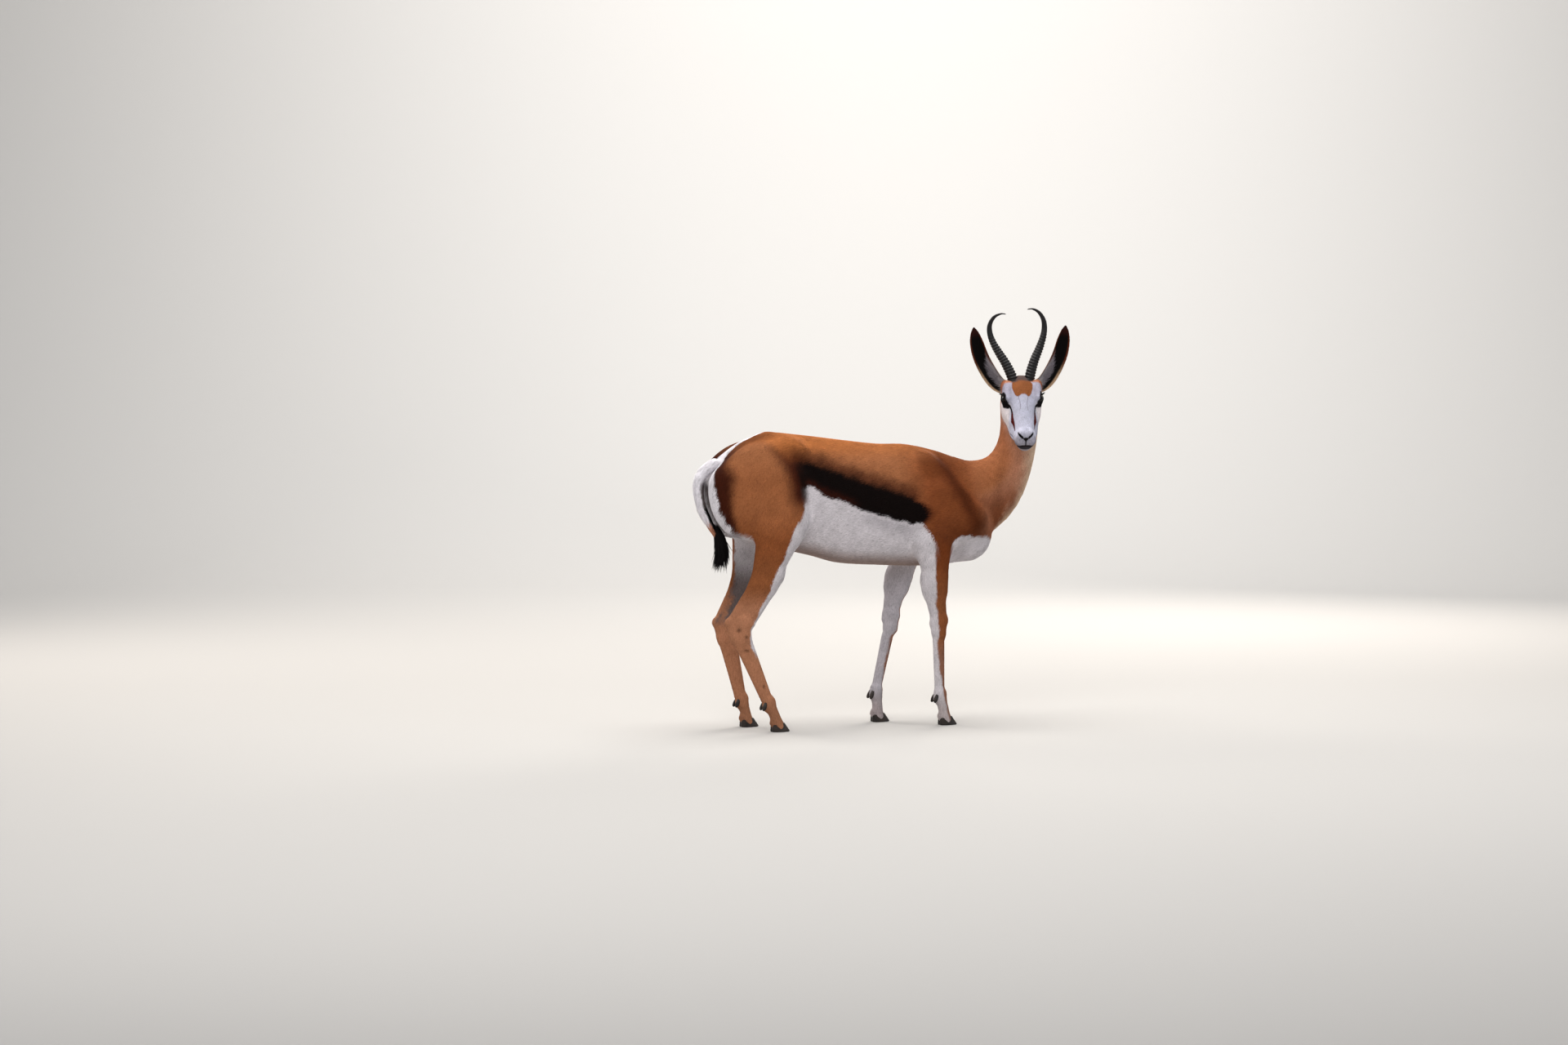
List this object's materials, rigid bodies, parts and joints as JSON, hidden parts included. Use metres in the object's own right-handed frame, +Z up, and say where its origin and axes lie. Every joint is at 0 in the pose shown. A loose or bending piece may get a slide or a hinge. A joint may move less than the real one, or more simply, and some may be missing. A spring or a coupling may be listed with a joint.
{
  "type": "springbok model",
  "caption": "Life-size museum model of a standing springbok, its head turned to look back over its right side.",
  "frame": {"origin": "centre of the bounding box in plan, on the floor under the soles", "axes": "+X towards the chest, +Y to the animal's left, +Z up"},
  "size_m": [1.0954, 0.3186, 1.1782],
  "materials": {
    "body_coat": "short cinnamon-brown hair, white below a dark side band",
    "face_coat": "short white hair with dark cheek stripes and a brown forehead",
    "ear_coat": "thin skin with short hair, dark inside",
    "tail_coat": "short white hair ending in a black brush",
    "horn": "dark ringed horn, satin at the tips",
    "claw": "dark hoof horn, satin",
    "eye": "glossy dark brown"
  },
  "bodies": {
    "root": {"ear_left": "ear_coat", "ear_right": "ear_coat", "eye_left": "eye", "eye_right": "eye", "fore_cannon_left": "body_coat", "fore_cannon_right": "body_coat", "fore_claw_inner_left": "claw", "fore_claw_inner_right": "claw", "fore_claw_outer_left": "claw", "fore_claw_outer_right": "claw", "fore_dewclaw_inner_left": "claw", "fore_dewclaw_inner_right": "claw", "fore_dewclaw_outer_left": "claw", "fore_dewclaw_outer_right": "claw", "forearm_left": "body_coat", "forearm_right": "body_coat", "head": "face_coat", "hind_cannon_left": "body_coat", "hind_cannon_right": "body_coat", "hind_claw_inner_left": "claw", "hind_claw_inner_right": "claw", "hind_claw_outer_left": "claw", "hind_claw_outer_right": "claw", "hind_dewclaw_inner_left": "claw", "hind_dewclaw_inner_right": "claw", "hind_dewclaw_outer_left": "claw", "hind_dewclaw_outer_right": "claw", "horn_left": "horn", "horn_right": "horn", "neck": "body_coat", "shank_left": "body_coat", "shank_right": "body_coat", "tail": "tail_coat", "thigh_left": "body_coat", "thigh_right": "body_coat", "torso": "body_coat"}
  },
  "joints": []
}
